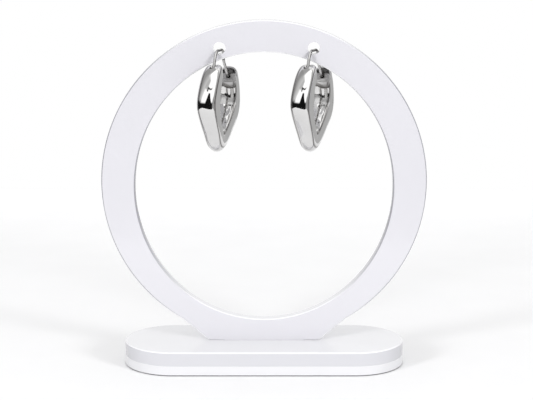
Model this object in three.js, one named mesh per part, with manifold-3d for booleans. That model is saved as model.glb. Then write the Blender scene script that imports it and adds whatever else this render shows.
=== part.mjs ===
// A pair of chunky silver hoop earrings hung on a plain white ring display stand.
// Millimetres, +Z up, +X to the right, the origin under the middle of the base.
// Each hoop is a thick curved band. Its ear wire turns on a pin in the front end, passes
// through a hole drilled in the stand's ring and drops into an open cup at the back end.
import * as THREE from "three";
import { mergeVertices } from "three/addons/utils/BufferGeometryUtils.js";
import Module from "manifold-3d";

const wasm = await Module();
wasm.setup();

// Base of the stand: two bonded sheets with fully round ends.
const BASE_WIDTH = 69.6;
const BASE_DEPTH = 25.0;
const LOWER_SHEET = 2.4;
const UPPER_SHEET = 3.5;
const GLUE_LINE = 0.1;
const SHEET_EDGE = 0.3;

// Ring of the stand: a round sheet with a slightly taller, lower-set window and a flat foot.
const RING_RADIUS = 40.0;
const RING_SHEET = 3.0;
const RING_EDGE = 0.25;
const BAND_AT_SIDES = 8.25;
const BAND_AT_TOP = 7.75;
const BAND_AT_BOTTOM = 5.45;
const FOOT_HALF_WIDTH = 14.0;
const FOOT_SHOULDER_ANGLE = 30.5;
const TENON_HALF_WIDTH = 10.0;
const TENON_DEPTH = 3.2;
const TENON_FIT = 0.1;

// Holes drilled through the ring for the ear wires. Their drop is from the ring's top.
const HOLE_RADIUS = 1.5;
const HOLE_DROP = 6.8;
const LEFT_HOLE_OFFSET = -10.8;
const RIGHT_HOLE_OFFSET = 12.05;

// How far each earring is turned on its hole, in degrees.
const LEFT_YAW = 20;
const RIGHT_YAW = 23.5;

// Hoop body. Its middle line is drawn from the side: u from front to back, z up.
const HOOP_DEPTH = 14.6;
const HOOP_HEIGHT = 17.8;
const LIMB_THICKNESS = 4.8;
const BAND_WIDTH = 4.8;
const INNER_SQUARE = 7;
const OUTER_CROWN = 0.12;
const INNER_CROWN = 0.05;
const FRONT_ROUNDING = 0.9;
const BACK_ROUNDING = 2.1;
const CUP_WALL = 0.35;
const CUP_DEPTH = 5.5;
const MOUTH_DROP = 2.15;
const MOUTH_AHEAD = 0.25;
const MOUTH_LEAN = 21;
const MOUTH_CUT_LENGTH = 5.8;
const MOUTH_CUT_HEIGHT = 11.5;

// Ear wire with its flattened eye, and the pin through the eye. The wire starts inside the
// eye's wall, at the given share of its thickness.
const WIRE_DIAMETER = 0.7;
const WIRE_FIT = 0.15;
const PIN_AHEAD = 2.4;
const PIN_BELOW = 3.6;
const PIN_DIAMETER = 0.7;
const PIN_FIT = 0.08;
const EYE_WALL = 0.4;
const WIRE_START = 0.4;
const EYE_THICKNESS = 0.8;
const SLOT_FIT = 0.2;
const SLOT_BACK_REACH = 4.3;
const SLOT_TOP_REACH = 4.8;
const SLOT_FRONT_RISE = 1.45;
const SLOT_FRONT_ANGLE = 144;
const PIN_GRIP = 0.9;
const FACE_DROP = 0.08;

// Latch plate across the cup, with a notch for the wire's tip.
const LATCH_SHEET = 0.35;
const LATCH_RECESS = 0.2;
const LATCH_FIT = 0.12;
const LATCH_RISE = 0.35;
const TIP_DROP = 0.4;
const TIP_REACH = 0.05;

// Smoothness of the round forms.
const RING_STEPS = 48;
const HOLE_STEPS = 28;
const END_STEPS = 14;
const BAND_STEPS = 48;
const SECTION_STEPS = 20;
const CAP_STEPS = 4;
const CAP_CLOSE = 0.93;
const CUP_STEPS = 6;
const WIRE_SIDES = 5;
const WIRE_STEPS = 36;
const EYE_STEPS = 10;

// The band from its front tip, down round the bottom and up to its back end.
// u is a share of HOOP_DEPTH and z of HOOP_HEIGHT, both from the pin. thick is a share of
// LIMB_THICKNESS, wide of BAND_WIDTH, and square says how square the section's corners are.
const BAND = [
  { u: 0.103, z: 0.006, thick: 0.52, wide: 0.75, square: 3.0 },
  { u: 0.027, z: -0.017, thick: 0.69, wide: 0.90, square: 3.6 },
  { u: -0.082, z: -0.118, thick: 0.79, wide: 0.98, square: 4.2 },
  { u: -0.182, z: -0.270, thick: 0.96, wide: 1.00, square: 4.4 },
  { u: -0.240, z: -0.433, thick: 1.15, wide: 1.00, square: 4.4 },
  { u: -0.202, z: -0.573, thick: 0.96, wide: 0.98, square: 4.0 },
  { u: -0.123, z: -0.725, thick: 0.77, wide: 0.95, square: 3.4 },
  { u: -0.034, z: -0.854, thick: 0.73, wide: 0.92, square: 2.8 },
  { u: 0.027, z: -0.944, thick: 0.83, wide: 0.88, square: 2.4 },
  { u: 0.130, z: -1.003, thick: 1.02, wide: 0.84, square: 2.2 },
  { u: 0.301, z: -0.961, thick: 0.92, wide: 0.80, square: 2.3 },
  { u: 0.491, z: -0.823, thick: 0.86, wide: 0.83, square: 2.8 },
  { u: 0.660, z: -0.661, thick: 0.96, wide: 0.96, square: 3.4 },
  { u: 0.727, z: -0.517, thick: 0.91, wide: 1.00, square: 3.8 },
  { u: 0.738, z: -0.354, thick: 0.72, wide: 1.00, square: 3.8 },
  { u: 0.714, z: -0.219, thick: 0.70, wide: 0.99, square: 3.4 },
  { u: 0.688, z: -0.118, thick: 0.69, wide: 0.94, square: 2.8 },
];

// The wire's middle beside the hole: away from the sheet's face, below the hole's lower edge.
const FRONT_LEG = { away: 1.2, below: 0.45 };
const REAR_LEG = [
  { away: 0.85, below: 0.2 },
  { away: 1.1, below: 2.0 },
];

// How the wire sags between its rear leg and its tip: share is how far along the way.
const WIRE_SAG = [
  { share: 0.45, ahead: 0.1, down: 0.2 },
  { share: 0.75, ahead: 0.2, down: 0.25 },
];

function finish(color, roughness, metalness) {
  return new THREE.MeshStandardMaterial({ color, roughness, metalness });
}

const WHITE_ACRYLIC = finish(0xf1f0f6, 0.12, 0.0);
const FROSTED_ACRYLIC = finish(0xe6e5ec, 0.15, 0.0);
const POLISHED_SILVER = finish(0xd9d9dc, 0.06, 1.0);

const baseHeight = LOWER_SHEET + GLUE_LINE + UPPER_SHEET;
const ringCentreZ = baseHeight + RING_RADIUS;
const holeRise = RING_RADIUS - HOLE_DROP;

// Turns a closed geometry into a solid that can be joined and cut.
function solidOf(geometry) {
  const bare = geometry.clone();
  bare.deleteAttribute("normal");
  bare.deleteAttribute("uv");
  const merged = mergeVertices(bare, 1e-5);
  const vertProperties = new Float32Array(merged.attributes.position.array);
  const triVerts = new Uint32Array(merged.index.array);
  return new wasm.Manifold(new wasm.Mesh({ numProp: 3, vertProperties, triVerts }));
}

function geometryOf(solid) {
  const mesh = solid.getMesh();
  const geometry = new THREE.BufferGeometry();
  geometry.setAttribute("position", new THREE.BufferAttribute(new Float32Array(mesh.vertProperties), 3));
  geometry.setIndex(new THREE.BufferAttribute(new Uint32Array(mesh.triVerts), 1));
  geometry.computeVertexNormals();
  return geometry;
}

function namedMesh(name, geometry, material) {
  const mesh = new THREE.Mesh(geometry, material);
  mesh.name = name;
  return mesh;
}

// A sheet cut from an outline, with its arrises eased by the given edge.
function easedSheet(outline, thickness, edge, steps) {
  return new THREE.ExtrudeGeometry(outline, {
    depth: thickness - 2 * edge,
    bevelEnabled: true,
    bevelThickness: edge,
    bevelSize: edge,
    bevelOffset: -edge,
    bevelSegments: 1,
    curveSegments: steps,
  }).translate(0, 0, edge);
}

// An outline in the hoop's side view, made as thick as given and centred on its plane.
function acrossBand(outline, thickness, steps) {
  const geometry = new THREE.ExtrudeGeometry(outline, {
    depth: thickness,
    bevelEnabled: false,
    curveSegments: steps,
  });
  return geometry.translate(0, 0, -thickness / 2).rotateX(Math.PI / 2);
}

function stadium(width, depth) {
  const radius = depth / 2;
  const straight = width / 2 - radius;
  const outline = new THREE.Shape();
  outline.moveTo(-straight, -radius);
  outline.lineTo(straight, -radius);
  outline.absarc(straight, 0, radius, -Math.PI / 2, Math.PI / 2, false);
  outline.lineTo(-straight, radius);
  outline.absarc(-straight, 0, radius, Math.PI / 2, (3 * Math.PI) / 2, false);
  return outline;
}

function lowerSheet() {
  const sheet = easedSheet(stadium(BASE_WIDTH, BASE_DEPTH), LOWER_SHEET, SHEET_EDGE, END_STEPS);
  return namedMesh("base_lower_sheet", sheet, FROSTED_ACRYLIC);
}

// The upper sheet has a mortise through it for the ring's tenon.
function upperSheet() {
  const sheet = easedSheet(stadium(BASE_WIDTH, BASE_DEPTH), UPPER_SHEET, SHEET_EDGE, END_STEPS);
  const mortise = new THREE.BoxGeometry(
    2 * (TENON_HALF_WIDTH + TENON_FIT),
    RING_SHEET + 2 * TENON_FIT,
    3 * UPPER_SHEET,
  );
  const mortised = geometryOf(solidOf(sheet).subtract(solidOf(mortise)));
  const mesh = namedMesh("base_upper_sheet", mortised, WHITE_ACRYLIC);
  mesh.position.z = LOWER_SHEET + GLUE_LINE;
  return mesh;
}

// The ring's outline is drawn about the ring's centre, foot and tenon included.
function ringOutline() {
  const shoulder = THREE.MathUtils.degToRad(FOOT_SHOULDER_ANGLE);
  const footZ = -RING_RADIUS + TENON_FIT;
  const tenonZ = footZ - TENON_DEPTH;
  const outline = new THREE.Shape();
  outline.moveTo(-TENON_HALF_WIDTH, tenonZ);
  outline.lineTo(TENON_HALF_WIDTH, tenonZ);
  outline.lineTo(TENON_HALF_WIDTH, footZ);
  outline.lineTo(FOOT_HALF_WIDTH, footZ);
  outline.absarc(0, 0, RING_RADIUS, -Math.PI / 2 + shoulder, (3 * Math.PI) / 2 - shoulder, false);
  outline.lineTo(-FOOT_HALF_WIDTH, footZ);
  outline.lineTo(-TENON_HALF_WIDTH, footZ);
  const windowHalfWidth = RING_RADIUS - BAND_AT_SIDES;
  const windowHalfHeight = RING_RADIUS - (BAND_AT_TOP + BAND_AT_BOTTOM) / 2;
  const windowZ = (BAND_AT_BOTTOM - BAND_AT_TOP) / 2;
  const window = new THREE.Path();
  window.absellipse(0, windowZ, windowHalfWidth, windowHalfHeight, 0, 2 * Math.PI, false, 0);
  outline.holes.push(window);
  return outline;
}

function ringPlate() {
  const sheet = easedSheet(ringOutline(), RING_SHEET, RING_EDGE, RING_STEPS);
  let plate = solidOf(sheet.translate(0, 0, -RING_SHEET / 2).rotateX(Math.PI / 2));
  for (const offset of [LEFT_HOLE_OFFSET, RIGHT_HOLE_OFFSET]) {
    const drill = new THREE.CylinderGeometry(HOLE_RADIUS, HOLE_RADIUS, 3 * RING_SHEET, HOLE_STEPS);
    plate = plate.subtract(solidOf(drill.translate(offset, 0, holeRise)));
  }
  const mesh = namedMesh("ring_plate", geometryOf(plate), WHITE_ACRYLIC);
  mesh.position.z = ringCentreZ;
  return mesh;
}

const middleLine = new THREE.CatmullRomCurve3(
  BAND.map((row) => new THREE.Vector3(row.u * HOOP_DEPTH, 0, row.z * HOOP_HEIGHT)),
  false,
  "catmullrom",
  0.5,
);
const sectionLine = new THREE.CatmullRomCurve3(
  BAND.map((row) => new THREE.Vector3(row.thick * LIMB_THICKNESS, row.wide * BAND_WIDTH, row.square)),
  false,
  "catmullrom",
  0.5,
);

function signedPower(value, power) {
  return Math.sign(value) * Math.pow(Math.abs(value), power);
}

// One section of the band: a rounded rectangle square to the middle line at share s.
// Its outer face is crowned and its inner face rises a little to the seam in its middle.
// inset takes a wall off it all round, shrink and push shape the rounded ends.
function bandSection(s, inset, shrink, push) {
  const centre = middleLine.getPoint(s);
  const along = middleLine.getTangent(s);
  const outward = new THREE.Vector3(along.z, 0, -along.x);
  const size = sectionLine.getPoint(s);
  const halfThick = (size.x / 2 - inset) * shrink;
  const halfWide = (size.y / 2 - inset) * shrink;
  const points = [];
  for (let i = 0; i < SECTION_STEPS; i += 1) {
    const angle = (2 * Math.PI * i) / SECTION_STEPS;
    const outer = Math.cos(angle) > 0;
    const square = outer ? size.z : INNER_SQUARE;
    const side = signedPower(Math.sin(angle), 2 / square);
    const crown = outer ? 1 - OUTER_CROWN * side * side : 1 - INNER_CROWN * Math.abs(side);
    const out = halfThick * crown * signedPower(Math.cos(angle), 2 / square);
    const point = centre.clone().addScaledVector(outward, out).addScaledVector(along, push);
    point.y += halfWide * side;
    points.push(point);
  }
  return points;
}

// Skins a row of sections and closes both ends on their middle points.
function skinned(sections) {
  const positions = [];
  const indices = [];
  for (const section of sections) {
    for (const point of section) {
      positions.push(point.x, point.y, point.z);
    }
  }
  for (let row = 0; row + 1 < sections.length; row += 1) {
    for (let i = 0; i < SECTION_STEPS; i += 1) {
      const a = row * SECTION_STEPS + i;
      const b = row * SECTION_STEPS + ((i + 1) % SECTION_STEPS);
      indices.push(a, b, a + SECTION_STEPS, b, b + SECTION_STEPS, a + SECTION_STEPS);
    }
  }
  for (const row of [0, sections.length - 1]) {
    const middle = new THREE.Vector3();
    for (const point of sections[row]) {
      middle.addScaledVector(point, 1 / SECTION_STEPS);
    }
    const pole = positions.length / 3;
    positions.push(middle.x, middle.y, middle.z);
    for (let i = 0; i < SECTION_STEPS; i += 1) {
      const a = row * SECTION_STEPS + i;
      const b = row * SECTION_STEPS + ((i + 1) % SECTION_STEPS);
      indices.push(...(row === 0 ? [pole, b, a] : [pole, a, b]));
    }
  }
  const geometry = new THREE.BufferGeometry();
  geometry.setAttribute("position", new THREE.BufferAttribute(new Float32Array(positions), 3));
  geometry.setIndex(indices);
  return geometry;
}

// The shrinking sections of an end that rounds off over the given length.
function roundedEnd(s, inset, length) {
  const sections = [];
  for (let i = 1; i <= CAP_STEPS; i += 1) {
    const angle = (Math.PI / 2) * CAP_CLOSE * (i / CAP_STEPS);
    sections.push(bandSection(s, inset, Math.cos(angle), length * Math.sin(angle)));
  }
  return sections;
}

function bandSolid() {
  const sections = [];
  for (let i = 0; i <= BAND_STEPS; i += 1) {
    sections.push(bandSection(i / BAND_STEPS, 0, 1, 0));
  }
  const front = roundedEnd(0, 0, -FRONT_ROUNDING).reverse();
  const back = roundedEnd(1, 0, BACK_ROUNDING);
  return solidOf(skinned([...front, ...sections, ...back]));
}

// The hollow inside the back end, a wall's thickness in from the band's skin.
function cupSolid(inset) {
  const first = 1 - CUP_DEPTH / middleLine.getLength();
  const sections = [];
  for (let i = 0; i <= CUP_STEPS; i += 1) {
    sections.push(bandSection(first + ((1 - first) * i) / CUP_STEPS, inset, 1, 0));
  }
  return solidOf(skinned([...sections, ...roundedEnd(1, inset, BACK_ROUNDING - inset)]));
}

// The back end is cut off by a leaning plane that faces forwards and up.
const mouthLean = THREE.MathUtils.degToRad(MOUTH_LEAN);
const mouthOut = new THREE.Vector3(-Math.cos(mouthLean), 0, Math.sin(mouthLean));
const mouthCentre = new THREE.Vector3(BAND.at(-1).u * HOOP_DEPTH - MOUTH_AHEAD, 0, -MOUTH_DROP);

// A block that lies in front of the plane at the given depth behind the mouth.
function mouthBlock(behind, length, height, rise) {
  const block = new THREE.BoxGeometry(length, 2 * BAND_WIDTH, height);
  block.translate(-length / 2, 0, rise);
  block.rotateY(mouthLean);
  const corner = mouthCentre.clone().addScaledVector(mouthOut, -behind);
  return solidOf(block.translate(corner.x, corner.y, corner.z));
}

const eyeRadius = PIN_DIAMETER / 2 + PIN_FIT + EYE_WALL;
const slotWidth = EYE_THICKNESS + 2 * SLOT_FIT;

// The slot for the wire's eye: round about the pin, open to the top and the front.
function slotSolid() {
  const radius = eyeRadius + SLOT_FIT;
  const frontAngle = THREE.MathUtils.degToRad(SLOT_FRONT_ANGLE);
  const outline = new THREE.Shape();
  outline.moveTo(radius, 0);
  outline.lineTo(SLOT_BACK_REACH, SLOT_TOP_REACH);
  outline.lineTo(-SLOT_TOP_REACH, SLOT_TOP_REACH);
  outline.lineTo(-SLOT_TOP_REACH, SLOT_FRONT_RISE);
  outline.absarc(0, 0, radius, frontAngle, 2 * Math.PI, false);
  return solidOf(acrossBand(outline, slotWidth, EYE_STEPS));
}

const pinLength = slotWidth + 2 * PIN_GRIP;

function pinGeometry(radius, length) {
  return new THREE.CylinderGeometry(radius, radius, length, EYE_STEPS);
}

function hoopBody() {
  const drilled = pinGeometry(PIN_DIAMETER / 2 + PIN_FIT, pinLength + 2 * PIN_FIT);
  return bandSolid()
    .subtract(cupSolid(CUP_WALL))
    .subtract(mouthBlock(0, MOUTH_CUT_LENGTH, MOUTH_CUT_HEIGHT, 0))
    .subtract(slotSolid())
    .subtract(solidOf(drilled));
}

// Where the wire runs, from the hole's centre: over the sheet, then down to both ends.
// Both wires are alike and clear the hole at the larger of the two turns.
const mostYaw = THREE.MathUtils.degToRad(Math.max(LEFT_YAW, RIGHT_YAW));
const halfThrough = RING_SHEET / 2 / Math.cos(mostYaw);
const sideShift = (RING_SHEET / 2) * Math.tan(mostYaw);
const freeRadius = HOLE_RADIUS - WIRE_DIAMETER / 2 - WIRE_FIT;
const faceZ = -Math.sqrt(freeRadius * freeRadius - sideShift * sideShift);
const pinFromHole = new THREE.Vector3(-halfThrough - PIN_AHEAD, 0, -HOLE_RADIUS - PIN_BELOW);

const mouthUp = new THREE.Vector3(Math.sin(mouthLean), 0, Math.cos(mouthLean));

function wireTip() {
  const across = LATCH_RECESS + LATCH_SHEET + TIP_REACH;
  return mouthCentre.clone().addScaledVector(mouthOut, -across).addScaledVector(mouthUp, -TIP_DROP);
}

function wirePath() {
  const overHole = [
    [-halfThrough - FRONT_LEG.away, -HOLE_RADIUS - FRONT_LEG.below],
    [-halfThrough, faceZ],
    [0, faceZ + FACE_DROP],
    [halfThrough, faceZ],
    ...REAR_LEG.map((row) => [halfThrough + row.away, -HOLE_RADIUS - row.below]),
  ].map(([u, z]) => new THREE.Vector3(u, 0, z).sub(pinFromHole));
  const start = overHole[0].clone().setLength(eyeRadius - EYE_WALL + EYE_WALL * WIRE_START);
  const last = overHole.at(-1);
  const tip = wireTip();
  const sag = WIRE_SAG.map((row) =>
    last.clone().lerp(tip, row.share).sub(new THREE.Vector3(row.ahead, 0, row.down)),
  );
  return new THREE.CatmullRomCurve3([start, ...overHole, ...sag, tip], false, "centripetal");
}

function earWire() {
  const section = new THREE.Shape();
  section.absarc(0, 0, WIRE_DIAMETER / 2, 0, 2 * Math.PI, false);
  const wire = new THREE.ExtrudeGeometry(section, {
    steps: WIRE_STEPS,
    bevelEnabled: false,
    extrudePath: wirePath(),
    curveSegments: WIRE_SIDES,
  });
  const lug = new THREE.Shape();
  lug.absarc(0, 0, eyeRadius, 0, 2 * Math.PI, false);
  const bore = new THREE.Path();
  bore.absarc(0, 0, PIN_DIAMETER / 2 + PIN_FIT, 0, 2 * Math.PI, false);
  lug.holes.push(bore);
  return solidOf(wire).add(solidOf(acrossBand(lug, EYE_THICKNESS, EYE_STEPS)));
}

function latchPlate() {
  const height = 2 * LIMB_THICKNESS;
  const front = mouthBlock(LATCH_RECESS + LATCH_SHEET, LATCH_SHEET, height, LATCH_RISE - height / 2);
  const notchWidth = WIRE_DIAMETER + 2 * LATCH_FIT;
  const notchFloor = -TIP_DROP - WIRE_DIAMETER / 2 - LATCH_FIT;
  const notch = new THREE.BoxGeometry(height, notchWidth, height);
  notch.translate(0, 0, notchFloor + height / 2);
  notch.rotateY(mouthLean);
  notch.translate(mouthCentre.x, mouthCentre.y, mouthCentre.z);
  return cupSolid(CUP_WALL + LATCH_FIT).intersect(front).subtract(solidOf(notch));
}

const bodyGeometry = geometryOf(hoopBody());
const wireGeometry = geometryOf(earWire());
const latchGeometry = geometryOf(latchPlate());
const pin = pinGeometry(PIN_DIAMETER / 2, pinLength);

// One earring, placed so that its wire lies over the lower edge of a hole.
function earring(side, offset, yaw) {
  const hung = new THREE.Group();
  hung.add(namedMesh(`${side}_hoop_body`, bodyGeometry, POLISHED_SILVER));
  hung.add(namedMesh(`${side}_hinge_pin`, pin, POLISHED_SILVER));
  hung.add(namedMesh(`${side}_ear_wire`, wireGeometry, POLISHED_SILVER));
  hung.add(namedMesh(`${side}_latch_plate`, latchGeometry, POLISHED_SILVER));
  hung.rotation.z = THREE.MathUtils.degToRad(90 - yaw);
  hung.position.set(offset, 0, ringCentreZ + holeRise);
  hung.position.add(pinFromHole.clone().applyAxisAngle(new THREE.Vector3(0, 0, 1), hung.rotation.z));
  return hung;
}

const pairOnStand = new THREE.Group();
pairOnStand.add(lowerSheet());
pairOnStand.add(upperSheet());
pairOnStand.add(ringPlate());
pairOnStand.add(earring("left", LEFT_HOLE_OFFSET, LEFT_YAW));
pairOnStand.add(earring("right", RIGHT_HOLE_OFFSET, RIGHT_YAW));

export default pairOnStand;
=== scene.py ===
import bpy
import math
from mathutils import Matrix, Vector
from mathutils.kdtree import KDTree


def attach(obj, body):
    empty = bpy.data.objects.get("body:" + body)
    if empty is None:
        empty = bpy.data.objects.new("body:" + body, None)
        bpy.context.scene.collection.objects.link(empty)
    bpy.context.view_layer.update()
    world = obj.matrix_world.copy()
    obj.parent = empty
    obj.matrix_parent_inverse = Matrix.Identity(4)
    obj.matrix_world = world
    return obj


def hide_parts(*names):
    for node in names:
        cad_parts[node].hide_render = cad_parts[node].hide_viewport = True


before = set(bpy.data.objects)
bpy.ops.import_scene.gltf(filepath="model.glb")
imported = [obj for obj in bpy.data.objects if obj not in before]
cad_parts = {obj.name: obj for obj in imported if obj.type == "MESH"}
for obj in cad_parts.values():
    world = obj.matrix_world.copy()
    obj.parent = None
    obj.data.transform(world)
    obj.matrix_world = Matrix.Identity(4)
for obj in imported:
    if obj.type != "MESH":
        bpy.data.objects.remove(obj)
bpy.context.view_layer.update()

# The camera stands in front of the ring and a little above it, and looks slightly down.
VIEW_ACROSS = 0.0006
VIEW_DISTANCE = 0.4007
VIEW_HEIGHT = 0.1241
VIEW_DOWN = math.radians(11.65)
VIEW_LENS = 111.9
bpy.ops.object.camera_add(
    location=(VIEW_ACROSS, -VIEW_DISTANCE, VIEW_HEIGHT),
    rotation=(math.pi / 2 - VIEW_DOWN, 0.0, 0.0),
)
camera = bpy.context.object
camera.name = "camera"
camera.data.lens = VIEW_LENS
camera.data.sensor_width = 36.0
bpy.context.scene.camera = camera

# The studio: a white sheet on a table that ends in front of the stand, a white tent above
# and around, and the dark room that shows in the silver beyond the table's front edge.
FLOOR_SIDE = 0.34
FLOOR_FRONT = -0.14
FLOOR_DEPTH = 0.36
TENT_GREY = 0.55
TENT_LIGHT = 0.735


def node_material(name):
    made = bpy.data.materials.new(name)
    made.use_nodes = True
    return made, made.node_tree.nodes, made.node_tree.links


def object_noise(nodes, links, scale, detail):
    where = nodes.new("ShaderNodeTexCoord")
    noise = nodes.new("ShaderNodeTexNoise")
    noise.inputs["Scale"].default_value = scale
    noise.inputs["Detail"].default_value = detail
    links.new(where.outputs["Object"], noise.inputs["Vector"])
    return noise.outputs["Fac"]


def spread(nodes, links, value, low, high):
    ranged = nodes.new("ShaderNodeMapRange")
    ranged.inputs["From Min"].default_value = 0.3
    ranged.inputs["From Max"].default_value = 0.7
    ranged.inputs["To Min"].default_value = low
    ranged.inputs["To Max"].default_value = high
    links.new(value, ranged.inputs["Value"])
    return ranged.outputs["Result"]


def between(nodes, links, value, dark, light):
    ramp = nodes.new("ShaderNodeValToRGB")
    ramp.color_ramp.elements[0].position = 0.3
    ramp.color_ramp.elements[0].color = (*dark, 1.0)
    ramp.color_ramp.elements[1].position = 0.7
    ramp.color_ramp.elements[1].color = (*light, 1.0)
    links.new(value, ramp.inputs["Fac"])
    return ramp.outputs["Color"]


def waviness(nodes, links, value, depth, strength):
    bump = nodes.new("ShaderNodeBump")
    bump.inputs["Distance"].default_value = depth
    bump.inputs["Strength"].default_value = strength
    links.new(value, bump.inputs["Height"])
    return bump.outputs["Normal"]


def dress(piece, material):
    piece.data.materials.clear()
    piece.data.materials.append(material)


def only(piece):
    """Selects this piece alone and makes it the active one."""
    bpy.ops.object.select_all(action="DESELECT")
    piece.select_set(True)
    bpy.context.view_layer.objects.active = piece


bpy.ops.object.select_all(action="DESELECT")
bpy.ops.mesh.primitive_plane_add(size=1.0, location=(0.0, FLOOR_FRONT + FLOOR_DEPTH / 2, 0.0))
table_sheet = bpy.context.object
table_sheet.name = "table_sheet"
table_sheet.scale = (FLOOR_SIDE, FLOOR_DEPTH, 1.0)
bpy.ops.object.transform_apply(location=True, rotation=True, scale=True)
paper, nodes, links = node_material("white_table_paper")
shader = nodes["Principled BSDF"]
grain = object_noise(nodes, links, 60.0, 4.0)
links.new(between(nodes, links, grain, (0.925, 0.925, 0.93), (0.94, 0.94, 0.945)),
          shader.inputs["Base Color"])
links.new(spread(nodes, links, grain, 0.55, 0.65), shader.inputs["Roughness"])
shader.inputs["Specular IOR Level"].default_value = 0.2
dress(table_sheet, paper)

world = bpy.data.worlds.new("light_tent")
bpy.context.scene.world = world
world.use_nodes = True
nodes, links = world.node_tree.nodes, world.node_tree.links
nodes.clear()


def world_number(operation, first, second=None, third=None, clamp=False):
    maths = nodes.new("ShaderNodeMath")
    maths.operation = operation
    maths.use_clamp = clamp
    for socket, value in zip(maths.inputs, (first, second, third)):
        if isinstance(value, (int, float)):
            socket.default_value = value
        elif value is not None:
            links.new(value, socket)
    return maths.outputs["Value"]


def world_within(value, low, high, soft):
    """1 between two limits, fading to 0 over the soft angle outside them."""
    over = world_number("SUBTRACT", value, low)
    under = world_number("SUBTRACT", high, value)
    over = world_number("ADD", world_number("DIVIDE", over, soft), 1.0, clamp=True)
    under = world_number("ADD", world_number("DIVIDE", under, soft), 1.0, clamp=True)
    return world_number("MULTIPLY", over, under)


def world_patch(tone, round_low, round_high, up_low, up_high, strength, soft_round, soft_up,
                lean_low=0.0, lean_high=0.0):
    """Blends a patch of the tent or the room into the tone so far. Angles are in degrees."""
    low = world_number("MULTIPLY_ADD", rise, lean_low, round_low)
    high = world_number("MULTIPLY_ADD", rise, lean_high, round_high)
    mask = world_number("MULTIPLY", world_within(turn, low, high, soft_round),
                        world_within(rise, up_low, up_high, soft_up))
    change = world_number("MULTIPLY", mask, world_number("SUBTRACT", strength, tone))
    return world_number("ADD", tone, change)


towards = nodes.new("ShaderNodeTexCoord")
parts = nodes.new("ShaderNodeSeparateXYZ")
links.new(towards.outputs["Generated"], parts.inputs["Vector"])
# turn is 0 towards the viewer and grows to the right, rise is the height above the horizon.
away = world_number("MULTIPLY", parts.outputs["Y"], -1.0)
turn = world_number("MULTIPLY", world_number("ARCTAN2", parts.outputs["X"], away), 180.0 / math.pi)
rise = world_number("MULTIPLY", world_number("ARCSINE", parts.outputs["Z"]), 180.0 / math.pi)
tone = world_number("ADD", TENT_GREY, 0.0)
PATCHES = [
    # round_low, round_high, up_low, up_high, strength, soft_round, soft_up, leans: what it is
    (158.0, 180.0, -5.0, 90.0, 1.0, 8.0, 4.0),  # white backdrop behind the stand
    (-180.0, -158.0, -5.0, 90.0, 1.0, 8.0, 4.0),
    (-128.0, -60.0, -60.0, 90.0, 0.40, 8.0, 4.0),  # grey wall on the left
    (-62.0, 0.0, 20.0, 90.0, 0.80, 24.0, 8.0),  # its lighter end
    (100.0, 128.0, 30.0, 90.0, 1.2, 10.0, 10.0),  # roof of the tent on the right
    (-54.0, 60.0, 12.0, 90.0, 1.50, 6.0, 8.0),  # white tent in front
    (-60.0, -49.0, 49.0, 60.0, 0.66, 3.0, 2.5),  # its rounded corner
    (-70.0, 80.0, 66.0, 90.0, 1.50, 8.0, 5.0),  # white roof
    (48.0, 78.0, -16.0, 14.0, 0.40, 12.0, 10.0),  # grey wall on the right
    (-104.0, 33.0, -60.0, 2.5, 0.010, 12.0, 4.0),  # dark room below the table's edge
    (-104.0, -70.0, -60.0, 7.0, 0.010, 6.0, 4.0),  # dark room further left
    (-39.0, 21.0, -10.0, 43.5, 0.008, 2.5, 2.0, 0.16, -0.84),  # stand of the camera
    (-48.0, 0.0, 50.3, 51.8, 0.02, 2.5, 0.8),  # gap between two sheets of the tent
    (-47.5, -42.5, 46.5, 51.0, 0.02, 1.5, 1.0),  # fold at the end of the gap
]
for patch in PATCHES:
    tone = world_patch(tone, *patch)
# The silver and the polished acrylic mirror the patches, the backdrop is white, and all the
# rest is lit by a plain white tent.
ray = nodes.new("ShaderNodeLightPath")
mirrored = world_number("SUBTRACT", tone, TENT_LIGHT)
shown = world_number("MULTIPLY", mirrored, ray.outputs["Is Glossy Ray"])
backdrop = world_number("MULTIPLY", ray.outputs["Is Camera Ray"], 1.0 - TENT_LIGHT)
tone = world_number("ADD", world_number("ADD", shown, backdrop), TENT_LIGHT)
background = nodes.new("ShaderNodeBackground")
background.inputs["Color"].default_value = (1.0, 1.0, 1.0, 1.0)
links.new(tone, background.inputs["Strength"])
world_out = nodes.new("ShaderNodeOutputWorld")
links.new(background.outputs["Background"], world_out.inputs["Surface"])

bpy.context.scene.view_settings.view_transform = "Standard"

# Overhead soft box: a wide and weak light above the stand.
bpy.ops.object.light_add(type="AREA", location=(0.0, -0.05, 0.75), rotation=(0.0, 0.0, 0.0))
soft_box = bpy.context.object
soft_box.name = "overhead_soft_box"
soft_box.data.shape = "RECTANGLE"
soft_box.data.size = 0.6
soft_box.data.size_y = 0.5
soft_box.data.energy = 0.08

# A low light behind the stand that whitens the back of the table sheet.
bpy.ops.object.light_add(type="AREA", location=(0.0, 0.30, 0.16), rotation=(0.0, 0.0, 0.0))
backdrop_light = bpy.context.object
backdrop_light.name = "backdrop_light"
backdrop_light.data.shape = "RECTANGLE"
backdrop_light.data.size = 0.9
backdrop_light.data.size_y = 0.12
backdrop_light.data.energy = 0.33
backdrop_light.visible_glossy = False
backdrop_light.visible_camera = False

# Two soft fills in front, left and right, that light the ring's face and give the floor its
# two faint shadows. The silver doesn't mirror them: it shows the patches of the tent.
for side, across in (("left", -1.0), ("right", 1.0)):
    bpy.ops.object.light_add(type="AREA", location=(across * 0.40, -0.40, 0.22))
    fill = bpy.context.object
    fill.name = f"{side}_fill"
    towards_ring = Vector((0.0, 0.0, 0.04)) - fill.location
    fill.rotation_euler = towards_ring.to_track_quat("-Z", "Y").to_euler()
    fill.data.shape = "DISK"
    fill.data.size = 0.15
    fill.data.energy = 1.5
    fill.visible_glossy = False

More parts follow.
